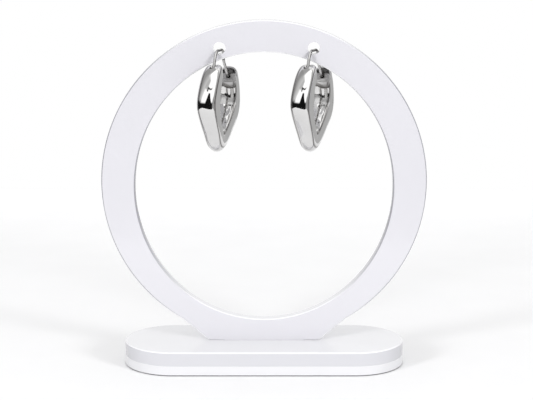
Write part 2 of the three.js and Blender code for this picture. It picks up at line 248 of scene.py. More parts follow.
# Base of the stand: two sheets of white acrylic with fully round ends, cut by laser, polished
# on their edges and bonded flat on each other. The upper one has a slot for the ring's tenon.
MM = 0.001
BASE_WIDTH = 69.6 * MM
BASE_DEPTH = 25.0 * MM
LOWER_SHEET = 2.45 * MM
GLUE_LINE = 0.02 * MM
BASE_HEIGHT = 6.0 * MM
TOP_EDGE = 0.45 * MM
FLOOR_EDGE = 0.25 * MM
BOND_EDGE = 0.04 * MM
TENON_HALF_WIDTH = 10.0 * MM
TENON_DEPTH = 3.2 * MM
TENON_FIT = 0.1 * MM
RING_SHEET = 3.0 * MM
ROUND_END_SIDES = 128
FLAT_DOT = 0.8
FLAT_ANGLE = math.radians(0.2)
TINY = 0.001 * MM
UPRIGHT_LIMIT = 0.35
UNDER_LIMIT = -0.2


def apply_modifier(piece, kind, **settings):
    only(piece)
    modifier = piece.modifiers.new(kind.lower(), kind)
    for key, value in settings.items():
        setattr(modifier, key, value)
    bpy.ops.object.modifier_apply(modifier=modifier.name)


def cut(piece, tool, operation="DIFFERENCE"):
    apply_modifier(piece, "BOOLEAN", object=tool, operation=operation, solver="EXACT")
    bpy.data.objects.remove(tool)


def ease(piece, edge, segments=3, angle=35.0):
    apply_modifier(piece, "BEVEL", width=edge, segments=segments, limit_method="ANGLE",
                   angle_limit=math.radians(angle), use_clamp_overlap=True)


def smooth(piece, angle=32.0):
    only(piece)
    bpy.ops.object.shade_smooth_by_angle(angle=math.radians(angle))


def flatten_shading(piece):
    """Keeps the large flat faces evenly shaded up to their rounded edges."""
    apply_modifier(piece, "WEIGHTED_NORMAL", keep_sharp=True)


def block(low, high):
    bpy.ops.object.select_all(action="DESELECT")
    low, high = Vector(low), Vector(high)
    bpy.ops.mesh.primitive_cube_add(size=1.0, location=(low + high) / 2)
    made = bpy.context.object
    made.scale = high - low
    bpy.ops.object.transform_apply(location=True, rotation=True, scale=True)
    return made


def ease_edges(piece, is_edge, width, segments):
    """Rounds the edges whose two ends pass the test and whose faces meet at an angle."""
    only(piece)
    bpy.ops.object.mode_set(mode="EDIT")
    bpy.ops.mesh.select_mode(type="EDGE")
    bpy.ops.mesh.select_all(action="DESELECT")
    bpy.ops.object.mode_set(mode="OBJECT")
    mesh = piece.data
    beside = {}
    for face in mesh.polygons:
        for key in face.edge_keys:
            beside.setdefault(key, []).append(face.normal.copy())
    for line in mesh.edges:
        first, second = beside[line.key]
        line.select = (first.dot(second) < FLAT_DOT
                       and is_edge(*(mesh.vertices[i].co for i in line.vertices)))
    bpy.ops.object.mode_set(mode="EDIT")
    bpy.ops.mesh.bevel(offset=width, segments=segments, affect="EDGES")
    bpy.ops.mesh.select_mode(type="VERT")
    bpy.ops.object.mode_set(mode="OBJECT")


def merge_flat(piece):
    """Joins the faces that lie in one plane, after the cuts have split them."""
    only(piece)
    bpy.ops.object.mode_set(mode="EDIT")
    bpy.ops.mesh.select_all(action="SELECT")
    bpy.ops.mesh.remove_doubles(threshold=TINY)
    bpy.ops.mesh.dissolve_limited(angle_limit=FLAT_ANGLE)
    bpy.ops.object.mode_set(mode="OBJECT")


def ease_level(piece, level, width, segments):
    """Rounds the outer edge of a sheet that lies at the given height."""
    ease_edges(piece, lambda a, b: max(abs(a.z - level), abs(b.z - level)) < TINY,
               width, segments)


def round_ended_sheet(name, bottom, thickness):
    bpy.ops.object.select_all(action="DESELECT")
    bpy.ops.mesh.primitive_cylinder_add(
        vertices=ROUND_END_SIDES, radius=BASE_DEPTH / 2, depth=thickness,
        location=(0.0, 0.0, bottom + thickness / 2),
    )
    sheet = bpy.context.object
    sheet.name = name
    bpy.ops.object.transform_apply(location=True, rotation=True, scale=True)
    straight = (BASE_WIDTH - BASE_DEPTH) / 2
    bpy.ops.object.mode_set(mode="EDIT")
    bpy.ops.mesh.select_all(action="SELECT")
    bpy.ops.mesh.bisect(plane_co=(0, 0, 0), plane_no=(1, 0, 0))
    bpy.ops.object.mode_set(mode="OBJECT")
    for vertex in sheet.data.vertices:
        if abs(vertex.co.x) > TINY:
            vertex.co.x += math.copysign(straight, vertex.co.x)
    bpy.ops.object.mode_set(mode="EDIT")
    bpy.ops.mesh.select_all(action="SELECT")
    bpy.ops.mesh.dissolve_limited(angle_limit=FLAT_ANGLE)
    bpy.ops.object.mode_set(mode="OBJECT")
    return sheet


def acrylic(name, dark, light, roughness):
    made, nodes, links = node_material(name)
    shader = nodes["Principled BSDF"]
    cloud = object_noise(nodes, links, 35.0, 3.0)
    fine = object_noise(nodes, links, 900.0, 2.0)
    links.new(between(nodes, links, cloud, dark, light), shader.inputs["Base Color"])
    links.new(spread(nodes, links, fine, roughness * 0.8, roughness * 1.3), shader.inputs["Roughness"])
    links.new(waviness(nodes, links, cloud, 0.02 * MM, 0.3), shader.inputs["Normal"])
    shader.inputs["IOR"].default_value = 1.49
    return made


def cut_edge_with_painted_shade(name, middle, end, from_x, to_x, roughness):
    """Acrylic of a laser-cut edge, with painted shade that turns it greyer towards the left and right
    ends.
    """
    made = acrylic(name, middle, middle, roughness)
    nodes, links = made.node_tree.nodes, made.node_tree.links
    where = nodes.new("ShaderNodeTexCoord")
    parts = nodes.new("ShaderNodeSeparateXYZ")
    links.new(where.outputs["Object"], parts.inputs["Vector"])
    size = nodes.new("ShaderNodeMath")
    size.operation = "ABSOLUTE"
    links.new(parts.outputs["X"], size.inputs[0])
    share = nodes.new("ShaderNodeMapRange")
    share.interpolation_type = "SMOOTHSTEP"
    share.inputs["From Min"].default_value = from_x
    share.inputs["From Max"].default_value = to_x
    links.new(size.outputs["Value"], share.inputs["Value"])
    tint = nodes.new("ShaderNodeMix")
    tint.data_type = "RGBA"
    tint.inputs["A"].default_value = (*middle, 1.0)
    tint.inputs["B"].default_value = (*end, 1.0)
    links.new(share.outputs["Result"], tint.inputs["Factor"])
    links.new(tint.outputs["Result"], nodes["Principled BSDF"].inputs["Base Color"])
    return made


def dress_faces(piece, material, picked):
    """Gives the faces that the test picks their own material."""
    piece.data.materials.append(material)
    for face in piece.data.polygons:
        if picked(face):
            face.material_index = len(piece.data.materials) - 1


def upright(face):
    return abs(face.normal.z) < UPRIGHT_LIMIT


half_base = BASE_WIDTH / 2
lower_acrylic = acrylic("lower_sheet_acrylic", (0.80, 0.80, 0.81), (0.83, 0.83, 0.84), 0.16)
# The base's cut edges are greyer than its faces, partly as the look of a cut acrylic edge and partly
# as painted shade, and greyer still towards the round ends as painted shade.
lower_edge = cut_edge_with_painted_shade("lower_sheet_edge_painted_shade", (0.69, 0.69, 0.71), (0.64, 0.64, 0.66),
                      half_base * 0.8, half_base, 0.2)
# A near-black painted contact shadow for the rounded bottom edge of the base, where it sits on the
# table.
painted_contact_shadow = cut_edge_with_painted_shade("painted_contact_shadow", (0.10, 0.10, 0.11), (0.08, 0.08, 0.09), 0.0, half_base, 0.3)
upper_acrylic = acrylic("upper_sheet_acrylic", (0.81, 0.81, 0.83), (0.84, 0.84, 0.86), 0.07)
upper_edge = cut_edge_with_painted_shade("upper_sheet_edge_painted_shade", (0.57, 0.57, 0.60), (0.485, 0.485, 0.51),
                      half_base * 0.85, half_base, 0.1)

lower_sheet = round_ended_sheet("stand_base_lower", 0.0, LOWER_SHEET)
ease_level(lower_sheet, 0.0, FLOOR_EDGE, 3)
ease_level(lower_sheet, LOWER_SHEET, BOND_EDGE, 1)
smooth(lower_sheet)
flatten_shading(lower_sheet)
dress(lower_sheet, lower_acrylic)
dress_faces(lower_sheet, lower_edge, upright)
# The rounded bottom edge gets the painted contact shadow.
dress_faces(lower_sheet, painted_contact_shadow,
            lambda face: face.normal.z < UNDER_LIMIT and face.center.z < FLOOR_EDGE)
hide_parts("base_lower_sheet")
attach(lower_sheet, "stand")

upper_bottom = LOWER_SHEET + GLUE_LINE
upper_top = BASE_HEIGHT
upper_sheet = round_ended_sheet("stand_base_upper", upper_bottom, upper_top - upper_bottom)
ease_level(upper_sheet, upper_top, TOP_EDGE, 4)
ease_level(upper_sheet, upper_bottom, BOND_EDGE, 1)
slot_half_width = TENON_HALF_WIDTH + TENON_FIT
slot_half_depth = RING_SHEET / 2 + TENON_FIT
cut(upper_sheet, block(
    (-slot_half_width, -slot_half_depth, upper_bottom - MM),
    (slot_half_width, slot_half_depth, upper_top + MM),
))
smooth(upper_sheet)
flatten_shading(upper_sheet)
dress(upper_sheet, upper_acrylic)
dress_faces(upper_sheet, upper_edge, upright)
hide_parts("base_upper_sheet")
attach(upper_sheet, "stand")

# Ring of the stand: one round cut from white acrylic sheet with a taller, lower-set window,
# a flat foot whose tenon is glued in the base, and two drilled holes for the ear wires.
RING_RADIUS = 40.0 * MM
RING_EDGE = 0.42 * MM
WINDOW_HALF_WIDTH = 31.75 * MM
WINDOW_HALF_HEIGHT = 33.4 * MM
WINDOW_DROP = 1.15 * MM
FOOT_HALF_WIDTH = 14.0 * MM
FOOT_SHOULDER_ANGLE = math.radians(30.5)
HOLE_RADIUS = 1.5 * MM
HOLE_RISE = 33.2 * MM
HOLE_OFFSETS = {"left": -10.8 * MM, "right": 12.05 * MM}
RING_SIDES = 720
HOLE_SIDES = 48
FOOT_CLEAR = 0.01 * MM
RING_FACE_LIMIT = 0.93
ring_centre_z = upper_top + RING_RADIUS


def disc_across(radius_x, radius_z, thickness, centre, sides):
    """A disc or oval facing the viewer, as thick as given along Y."""
    bpy.ops.object.select_all(action="DESELECT")
    bpy.ops.mesh.primitive_cylinder_add(vertices=sides, radius=1.0, depth=1.0,
                                        location=centre, rotation=(math.pi / 2, 0.0, 0.0))
    made = bpy.context.object
    made.scale = (radius_x, radius_z, thickness)
    bpy.ops.object.transform_apply(location=True, rotation=True, scale=True)
    return made


ring = disc_across(RING_RADIUS, RING_RADIUS, RING_SHEET, (0.0, 0.0, ring_centre_z), RING_SIDES)
ring.name = "stand_ring"
foot_z = upper_top + TENON_FIT
shoulder_x = RING_RADIUS * math.sin(FOOT_SHOULDER_ANGLE)
shoulder_z = ring_centre_z - RING_RADIUS * math.cos(FOOT_SHOULDER_ANGLE)
foot = block((-FOOT_HALF_WIDTH, -RING_SHEET / 2, foot_z),
             (FOOT_HALF_WIDTH, RING_SHEET / 2, shoulder_z))
for vertex in foot.data.vertices:
    if vertex.co.z > (foot_z + shoulder_z) / 2:
        vertex.co.x = math.copysign(shoulder_x, vertex.co.x)
below_foot = block((-RING_RADIUS, -RING_SHEET, upper_top - RING_SHEET),
                   (RING_RADIUS, RING_SHEET, foot_z))
cut(ring, foot, "UNION")
cut(ring, below_foot)
cut(ring, disc_across(WINDOW_HALF_WIDTH, WINDOW_HALF_HEIGHT, 3 * RING_SHEET,
                      (0.0, 0.0, ring_centre_z - WINDOW_DROP), RING_SIDES))
merge_flat(ring)
ease_edges(ring, lambda a, b: min(abs(a.y), abs(b.y)) > RING_SHEET / 2 - TINY
           and max(a.z, b.z) > foot_z + FOOT_CLEAR, RING_EDGE, 4)
for offset in HOLE_OFFSETS.values():
    cut(ring, disc_across(HOLE_RADIUS, HOLE_RADIUS, 3 * RING_SHEET,
                          (offset, 0.0, ring_centre_z + HOLE_RISE), HOLE_SIDES))
tenon = block((-TENON_HALF_WIDTH, -RING_SHEET / 2, upper_top - TENON_DEPTH + TENON_FIT),
              (TENON_HALF_WIDTH, RING_SHEET / 2, foot_z + RING_SHEET / 2))
cut(ring, tenon, "UNION")
merge_flat(ring)
smooth(ring)
flatten_shading(ring)
# The ring's white acrylic is given a darker colour than the base's, as painted shade that holds back
# the fills' light on its face.
ring_acrylic = acrylic("ring_acrylic", (0.615, 0.61, 0.645), (0.635, 0.63, 0.665), 0.09)
dress(ring, ring_acrylic)
# The ring's cut edges carry painted light: a painted highlight of light grey around the top and
# bottom, fading to painted shade of dark grey towards the left and right sides.
ring_edge_painted_light = cut_edge_with_painted_shade("ring_edge_painted_light", (0.80, 0.80, 0.82), (0.33, 0.33, 0.36),
                     RING_RADIUS * 0.35, RING_RADIUS * 0.8, 0.08)
dress_faces(ring, ring_edge_painted_light, lambda face: abs(face.normal.y) < RING_FACE_LIMIT)
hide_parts("ring_plate")
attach(ring, "stand")

# Hoop body: a chunky band of polished silver, pressed as two halves and soldered, so that a
# fine seam runs along its inner face. Its front end is slotted for the wire's eye, and its
# back end is an open cup that faces forwards.
HOOP_YAWS = {"left": math.radians(20.0), "right": math.radians(23.5)}
HOOP_DEPTH = 14.6 * MM
HOOP_HEIGHT = 17.8 * MM
LIMB_THICKNESS = 4.8 * MM
BAND_WIDTH = 4.8 * MM
INNER_SQUARE = 7.0
OUTER_CROWN = 0.12
INNER_CROWN = 0.05
FRONT_ROUNDING = 0.9 * MM
BACK_ROUNDING = 2.1 * MM
CUP_WALL = 0.35 * MM
CUP_DEPTH = 5.5 * MM
MOUTH_DROP = 2.15 * MM
MOUTH_AHEAD = 0.25 * MM
MOUTH_LEAN = math.radians(21.0)
MOUTH_CUT_LENGTH = 5.8 * MM
MOUTH_CUT_HEIGHT = 11.5 * MM
BAND_STEPS = 176
ROUND_STEPS = 96
END_STEPS = 16
FAIRING = 26
SEAM_DEPTH = 0.09 * MM
SEAM_FROM = 0.62
SEAM_FADE = 0.05
MERGE_NEAR = 0.0005 * MM
# Share of the band's length and the mm by which the inner face stands out there, left and
# right of its seam. Most of these numbers are rounded from what a scratch program printed: it
# looked for the slopes that mirror the studio about where the photo shows it.
LEFT_LEAN = [
    (0.72, 0.0), (0.834, -0.25), (0.847, -0.194), (0.859, -0.095), (0.871, 0.02),
    (0.883, 0.118), (0.895, 0.18), (0.907, 0.218), (0.931, 0.246), (0.953, 0.253),
    (0.966, 0.03), (1.0, 0.0),
]
RIGHT_LEAN = [
    (0.72, 0.0), (0.812, -0.42), (0.818, -0.36), (0.830, -0.23), (0.841, -0.10),
    (0.852, 0.03), (0.864, 0.15), (0.875, 0.254), (0.886, 0.339), (0.898, 0.391),
    (0.909, 0.422), (0.931, 0.446), (0.953, 0.453), (0.966, 0.03), (1.0, 0.0),
]
LEAN_FAIRING = 2
# Side view from the front tip, down round the bottom and up to the back end: shares of the
# hoop's depth and height, of the limb's thickness and width, and how square the section is.
BAND = [
    (0.103, 0.006, 0.52, 0.75, 3.0),
    (0.027, -0.017, 0.69, 0.90, 3.6),
    (-0.082, -0.118, 0.79, 0.98, 4.2),
    (-0.182, -0.270, 0.96, 1.00, 4.4),
    (-0.240, -0.433, 1.15, 1.00, 4.4),
    (-0.202, -0.573, 0.96, 0.98, 4.0),
    (-0.123, -0.725, 0.77, 0.95, 3.4),
    (-0.034, -0.854, 0.73, 0.92, 2.8),
    (0.027, -0.944, 0.83, 0.88, 2.4),
    (0.130, -1.003, 1.02, 0.84, 2.2),
    (0.301, -0.961, 0.92, 0.80, 2.3),
    (0.491, -0.823, 0.86, 0.83, 2.8),
    (0.660, -0.661, 0.96, 0.96, 3.4),
    (0.727, -0.517, 0.91, 1.00, 3.8),
    (0.738, -0.354, 0.72, 1.00, 3.8),
    (0.714, -0.219, 0.70, 0.99, 3.4),
    (0.688, -0.118, 0.69, 0.94, 2.8),
]


def through(points, share):
    """A point on the smooth line through the given rows of numbers, at a share of its length."""
    place = (len(points) - 1) * share
    index = min(int(place), len(points) - 2)
    t = place - index
    here, after = points[index], points[index + 1]
    before = points[index - 1] if index > 0 else [2 * a - b for a, b in zip(here, after)]
    beyond = points[index + 2] if index + 2 < len(points) else [2 * b - a for a, b in zip(here, after)]
    out = []
    for p0, p1, p2, p3 in zip(before, here, after, beyond):
        v1, v2 = (p2 - p0) / 2, (p3 - p1) / 2
        out.append((2 * p1 - 2 * p2 + v1 + v2) * t ** 3 + (3 * p2 - 3 * p1 - 2 * v1 - v2) * t ** 2
                   + v1 * t + p1)
    return out


def faired(rows, passes):
    """Takes the small unevenness out of a run of rows, with both ends kept."""
    for _ in range(passes):
        rows = [rows[0]] + [
            [(a + 2 * b + c) / 4 for a, b, c in zip(*rows[i - 1:i + 2])]
            for i in range(1, len(rows) - 1)
        ] + [rows[-1]]
    return rows


table_rows = [(u * HOOP_DEPTH, z * HOOP_HEIGHT, thick * LIMB_THICKNESS, wide * BAND_WIDTH, square)
              for u, z, thick, wide, square in BAND]
band_rows = faired([through(table_rows, i / BAND_STEPS) for i in range(BAND_STEPS + 1)], FAIRING)


def band_section(step, inset=0.0, shrink=1.0, push=0.0, seam=0.0, lean=(0.0, 0.0)):
    """The points round the band at a step of its length, square to its middle line."""
    u, z, thick, wide, square = band_rows[step]
    before, after = band_rows[max(step - 1, 0)], band_rows[min(step + 1, BAND_STEPS)]
    along = Vector((after[0] - before[0], 0.0, after[1] - before[1])).normalized()
    outward = Vector((along.z, 0.0, -along.x))
    half_thick = (thick / 2 - inset) * shrink
    half_wide = (wide / 2 - inset) * shrink
    centre = Vector((u, 0.0, z)) + along * push
    points = []
    for i in range(ROUND_STEPS):
        angle = 2 * math.pi * i / ROUND_STEPS
        out, side = math.cos(angle), math.sin(angle)
        corner = square if out > 0 else INNER_SQUARE
        reach = (abs(out) ** corner + abs(side) ** corner) ** (-1 / corner)
        out, side = out * reach, side * reach
        crown = 1 - OUTER_CROWN * side * side if out > 0 else 1 - INNER_CROWN * abs(side)
        point = centre + outward * (half_thick * crown * out)
        point.y += half_wide * side
        if corner == INNER_SQUARE:
            right = min(max(0.5 - 2 * side, 0.0), 1.0)
            point -= outward * (lean[0] + (lean[1] - lean[0]) * right)
        if i == ROUND_STEPS // 2:
            point += outward * seam
        points.append(point)
    return points


def wrapped(name, sections):
    """Wraps a grid round a row of sections, and closes its seam and both of its ends."""
    rounds = len(sections[0])
    rows = len(sections) - 1
    bpy.ops.object.select_all(action="DESELECT")
    bpy.ops.mesh.primitive_grid_add(x_subdivisions=rounds, y_subdivisions=rows, size=2.0)
    piece = bpy.context.object
    piece.name = name
    for vertex in piece.data.vertices:
        i = round((vertex.co.x + 1) / 2 * rounds) % rounds
        j = round((vertex.co.y + 1) / 2 * rows)
        vertex.co = sections[j][i]
    bpy.ops.object.mode_set(mode="EDIT")
    bpy.ops.mesh.select_all(action="SELECT")
    bpy.ops.mesh.remove_doubles(threshold=MERGE_NEAR)
    bpy.ops.mesh.select_all(action="SELECT")
    bpy.ops.mesh.normals_make_consistent(inside=False)
    bpy.ops.object.mode_set(mode="OBJECT")
    return piece


def domed_end(step, inset, length):
    """Sections that shrink to a pole as an end rounds off over the given length."""
    return [
        band_section(step, inset, math.cos(a), length * math.sin(a))
        for a in (math.pi / 2 * i / END_STEPS for i in range(1, END_STEPS + 1))
    ]


def seam_at(step):
    """The seam's depth: it runs down the back limb's inner face, a little uneven."""
    share = step / BAND_STEPS
    fade = min(max((share - SEAM_FROM) / SEAM_FADE, 0.0), 1.0)
    return SEAM_DEPTH * fade * (0.75 + 0.25 * math.sin(step * 1.9) * math.sin(step * 0.47))


def lean_at(table, step):
    """How far the back limb's inner face stands out: it bends a little below the mouth."""
    share = step / BAND_STEPS
    for (low, start), (high, end) in zip(table, table[1:]):
        if low <= share <= high:
            return (start + (end - start) * (share - low) / (high - low)) * MM
    return 0.0


leans = faired([(lean_at(LEFT_LEAN, i), lean_at(RIGHT_LEAN, i)) for i in range(BAND_STEPS + 1)],
               LEAN_FAIRING)


def cup_tool(inset):
    """Fills the back end of the band up to an inset from its skin."""
    lengths = [0.0]
    for a, b in zip(band_rows, band_rows[1:]):
        lengths.append(lengths[-1] + math.hypot(b[0] - a[0], b[1] - a[1]))
    first = next(i for i, l in enumerate(lengths) if l > lengths[-1] - CUP_DEPTH)
    floor = band_section(first, inset, 0.0)
    return wrapped("cup_tool", [floor] + [band_section(i, inset) for i in range(first, BAND_STEPS + 1)]
                   + domed_end(BAND_STEPS, inset, BACK_ROUNDING - inset))


mouth_out = Vector((-math.cos(MOUTH_LEAN), 0.0, math.sin(MOUTH_LEAN)))
mouth_up = Vector((math.sin(MOUTH_LEAN), 0.0, math.cos(MOUTH_LEAN)))
mouth_centre = Vector((table_rows[-1][0] - MOUTH_AHEAD, 0.0, -MOUTH_DROP))


def mouth_block(behind, length, height, rise):
    """A block in front of the leaning plane at the given depth behind the mouth."""
    tool = block((-length, -BAND_WIDTH, rise - height / 2), (0.0, BAND_WIDTH, rise + height / 2))
    tool.rotation_euler = (0.0, MOUTH_LEAN, 0.0)
    tool.location = mouth_centre - mouth_out * behind
    only(tool)
    bpy.ops.object.transform_apply(location=True, rotation=True, scale=True)
    return tool


PIN_RADIUS = 0.35 * MM
PIN_FIT = 0.08 * MM
PIN_GRIP = 0.9 * MM
EYE_WALL = 0.4 * MM
EYE_THICKNESS = 0.8 * MM
SLOT_FIT = 0.2 * MM
SLOT_REACH = 4.8 * MM
SLOT_BACK_REACH = 4.3 * MM
SLOT_FRONT_RISE = 1.45 * MM
PIN_SIDES = 32
SLOT_SIDES = 48
eye_radius = PIN_RADIUS + PIN_FIT + EYE_WALL
slot_width = EYE_THICKNESS + 2 * SLOT_FIT
pin_length = slot_width + 2 * PIN_GRIP


def slot_tool():
    """The slot for the wire's eye: a wedge open to the top and the front, round at the pin."""
    radius = eye_radius + SLOT_FIT
    tool = disc_across(radius, radius, slot_width, (0.0, 0.0, 0.0), SLOT_SIDES)
    wedge = block((-SLOT_REACH, -slot_width / 2, 0.0), (SLOT_BACK_REACH, slot_width / 2, SLOT_REACH))
    for vertex in wedge.data.vertices:
        if vertex.co.z < SLOT_REACH / 2:
            if vertex.co.x > 0:
                vertex.co.x, vertex.co.z = radius, 0.0
            else:
                vertex.co.z = SLOT_FRONT_RISE
    corner = block((-radius * 0.8, -slot_width / 2, 0.0), (radius, slot_width / 2, SLOT_FRONT_RISE))
    cut(tool, wedge, "UNION")
    cut(tool, corner, "UNION")
    return tool


sections = [band_section(i, seam=seam_at(i), lean=leans[i]) for i in range(BAND_STEPS + 1)]
front_dome = domed_end(0, 0.0, -FRONT_ROUNDING)
back_dome = domed_end(BAND_STEPS, 0.0, BACK_ROUNDING)
hoop = wrapped("hoop_pattern", front_dome[::-1] + sections + back_dome)
cut(hoop, cup_tool(CUP_WALL))
cut(hoop, mouth_block(0.0, MOUTH_CUT_LENGTH, MOUTH_CUT_HEIGHT, 0.0))
cut(hoop, slot_tool())
cut(hoop, disc_across(PIN_RADIUS + PIN_FIT, PIN_RADIUS + PIN_FIT, pin_length + 2 * PIN_FIT,
                      (0.0, 0.0, 0.0), PIN_SIDES))
smooth(hoop, 40.0)

# The dark lines along the band's corners are a painted reflection of the dark room, turned off the
# corner by a different angle on the right and on the left.
CORNER_WIDTH = math.radians(7.5)
CORNER_SHIFT_RIGHT = math.radians(15.0)
CORNER_SHIFT_LEFT = math.radians(-7.0)
CORNER_SHARE = 0.84
SEAM_WIDTH = 0.30 * MM
SEAM_OUT = -0.8
RIM_OUT = -0.9
RIM_NEAR = 0.01 * MM
RIM_SHARE = 0.8
CUP_FROM = 0.8
CUP_WITHIN = 0.93
rows_near = KDTree(BAND_STEPS + 1)
for step, row in enumerate(band_rows):
    rows_near.insert((row[0], 0.0, row[1]), step)
rows_near.balance()


def across_band(place, step):
    """Where a place lies across the band: 0 on its middle line, 1 on its skin."""
    u, z, thick, wide, _ = band_rows[step]
    before, after = band_rows[max(step - 1, 0)], band_rows[min(step + 1, BAND_STEPS)]
    along = Vector((after[0] - before[0], 0.0, after[1] - before[1])).normalized()
    out = ((place.x - u) * along.z - (place.z - z) * along.x) / (thick / 2)
    return out, place.y / (wide / 2)


def band_darkening_and_painted_reflection(place):
    """How dark the silver is: a painted dark reflection along the corners, darker along the seam and
    on the mouth's lower rim.
    """
    _, step, _ = rows_near.find((place.x, 0.0, place.z))
    out, side = across_band(place, step)
    line = math.pi / 4
    if out > 0:
        line += CORNER_SHIFT_RIGHT if side < 0 else CORNER_SHIFT_LEFT
    off_line = abs(math.atan2(abs(side), abs(out)) - line) / CORNER_WIDTH
    corner = CORNER_SHARE * min(1.1 - off_line, 1.0)
    seam = 0.0
    if step > SEAM_FROM * BAND_STEPS and out < SEAM_OUT:
        seam = (1.15 - abs(place.y) / SEAM_WIDTH) * (0.8 + 0.2 * math.sin(step * 1.3))
    rim = 0.0
    if abs((place - mouth_centre).dot(mouth_out)) < RIM_NEAR and out < RIM_OUT:
        rim = RIM_SHARE
    return min(max(corner, seam, rim, 0.0), 1.0)


def darkening_and_painted_reflection(piece, share_at):
    """Stores how dark the silver is at each point, for the material to read: its own darkening and
    painted dark reflections.
    """
    layer = piece.data.attributes.new("darkening_and_painted_reflection", "FLOAT", "POINT")
    for vertex, value in zip(piece.data.vertices, layer.data):
        value.value = share_at(vertex.co)


darkening_and_painted_reflection(hoop, band_darkening_and_painted_reflection)


def in_cup(face):
    """Whether a face lies inside the cup, under the skin of the band."""
    _, step, _ = rows_near.find((face.center.x, 0.0, face.center.z))
    if step < CUP_FROM * BAND_STEPS:
        return False
    out, side = across_band(face.center, step)
    return abs(out) < CUP_WITHIN and abs(side) < CUP_WITHIN


def silver_of(name, dark, light, smoothest, roughest):
    made, nodes, links = node_material(name)
    shader = nodes["Principled BSDF"]
    shader.inputs["Metallic"].default_value = 1.0
    mottle = object_noise(nodes, links, 260.0, 3.0)
    darkened_share = nodes.new("ShaderNodeAttribute")
    darkened_share.attribute_name = "darkening_and_painted_reflection"
    tint = nodes.new("ShaderNodeMix")
    tint.data_type = "RGBA"
    links.new(darkened_share.outputs["Fac"], tint.inputs["Factor"])
    links.new(between(nodes, links, mottle, dark, light), tint.inputs["A"])
    # The darkened silver turns towards a near-black brown; this also paints the dark reflections.
    tint.inputs["B"].default_value = (0.06, 0.051, 0.045, 1.0)
    links.new(tint.outputs["Result"], shader.inputs["Base Color"])
    links.new(spread(nodes, links, mottle, smoothest, roughest), shader.inputs["Roughness"])
    links.new(waviness(nodes, links, object_noise(nodes, links, 420.0, 1.0), 0.01 * MM, 0.25),
              shader.inputs["Normal"])
    return made


silver = silver_of("polished_silver", (0.68, 0.675, 0.67), (0.72, 0.715, 0.71), 0.035, 0.075)
# Inside the cup the silver is rougher, and its colour, lighter than outside, is painted light that
# brightens the hollow; the latch plate shares it.
cup_silver = silver_of("silver_inside_cup", (0.78, 0.775, 0.77), (0.86, 0.855, 0.85), 0.36, 0.50)
dress(hoop, silver)
dress_faces(hoop, cup_silver, in_cup)

# Where an earring hangs: its pin lies this far in front of and below the hole's centre.
WIRE_RADIUS = 0.35 * MM
WIRE_FIT = 0.15 * MM
PIN_AHEAD = 2.4 * MM
PIN_BELOW = 3.6 * MM
most_yaw = max(HOOP_YAWS.values())
half_through = RING_SHEET / 2 / math.cos(most_yaw)
pin_from_hole = Vector((-half_through - PIN_AHEAD, 0.0, -HOLE_RADIUS - PIN_BELOW))


def hung(pattern, side, name):
    """A copy of a pattern piece, turned and moved to where that side's earring hangs."""
    only(pattern)
    bpy.ops.object.duplicate()
    piece = bpy.context.object
    piece.name = name
    turn = math.pi / 2 - HOOP_YAWS[side]
    hole = Vector((HOLE_OFFSETS[side], 0.0, ring_centre_z + HOLE_RISE))
    across = Vector((math.cos(turn), math.sin(turn), 0.0))
    piece.location = hole + across * pin_from_hole.x + Vector((0.0, 0.0, pin_from_hole.z))
    piece.rotation_euler = (0.0, 0.0, turn)
    bpy.ops.object.transform_apply(location=True, rotation=True, scale=True)
    return piece


for side in ("left", "right"):
    band = hung(hoop, side, f"{side}_silver_band")
    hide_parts(f"{side}_hoop_body")
    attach(band, "stand")
bpy.data.objects.remove(hoop)

# Hinge pin: a short rivet of the same silver through the hoop's front end and the wire's eye.
# Both of its ends are held in the hoop, and the wire turns on its middle.
PIN_EDGE = 0.06 * MM
pin = disc_across(PIN_RADIUS, PIN_RADIUS, pin_length, (0.0, 0.0, 0.0), PIN_SIDES)
ease(pin, PIN_EDGE, 2)
smooth(pin)
# The pin's silver is darkened evenly, by half.
darkening_and_painted_reflection(pin, lambda place: 0.5)
dress(pin, silver)
for side in ("left", "right"):
    rivet = hung(pin, side, f"{side}_rivet")
    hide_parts(f"{side}_hinge_pin")
    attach(rivet, "stand")
bpy.data.objects.remove(pin)

# Latch plate: a thin silver sheet soldered across the cup, a little behind its mouth, with a
# notch that catches the tip of the ear wire.
LATCH_SHEET = 0.35 * MM
LATCH_RECESS = 0.2 * MM
LATCH_FIT = 0.12 * MM
LATCH_RISE = 0.35 * MM
TIP_DROP = 0.4 * MM
TIP_REACH = 0.05 * MM
LATCH_EDGE = 0.04 * MM
LATCH_DARK_WIDTH = 1.2 * MM
plate = cup_tool(CUP_WALL + LATCH_FIT)
plate_height = 2 * LIMB_THICKNESS
cut(plate, mouth_block(LATCH_RECESS + LATCH_SHEET, LATCH_SHEET, plate_height,
                       LATCH_RISE - plate_height / 2), "INTERSECT")
notch_half = WIRE_RADIUS + LATCH_FIT
notch_floor = -TIP_DROP - WIRE_RADIUS - LATCH_FIT
notch = block((-plate_height / 2, -notch_half, notch_floor),
              (plate_height / 2, notch_half, notch_floor + plate_height))
notch.rotation_euler = (0.0, MOUTH_LEAN, 0.0)
notch.location = mouth_centre
only(notch)
bpy.ops.object.transform_apply(location=True, rotation=True, scale=True)
cut(plate, notch)
ease(plate, LATCH_EDGE, 2, 50.0)
smooth(plate)
# The plate is darkened a little all over and more towards its middle, round the notch.
darkening_and_painted_reflection(plate, lambda place: 0.25 + 0.5 * max(0.0, 1 - abs(place.y) / LATCH_DARK_WIDTH))
dress(plate, cup_silver)
for side in ("left", "right"):
    latch = hung(plate, side, f"{side}_latch")
    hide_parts(f"{side}_latch_plate")
    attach(latch, "stand")
bpy.data.objects.remove(plate)

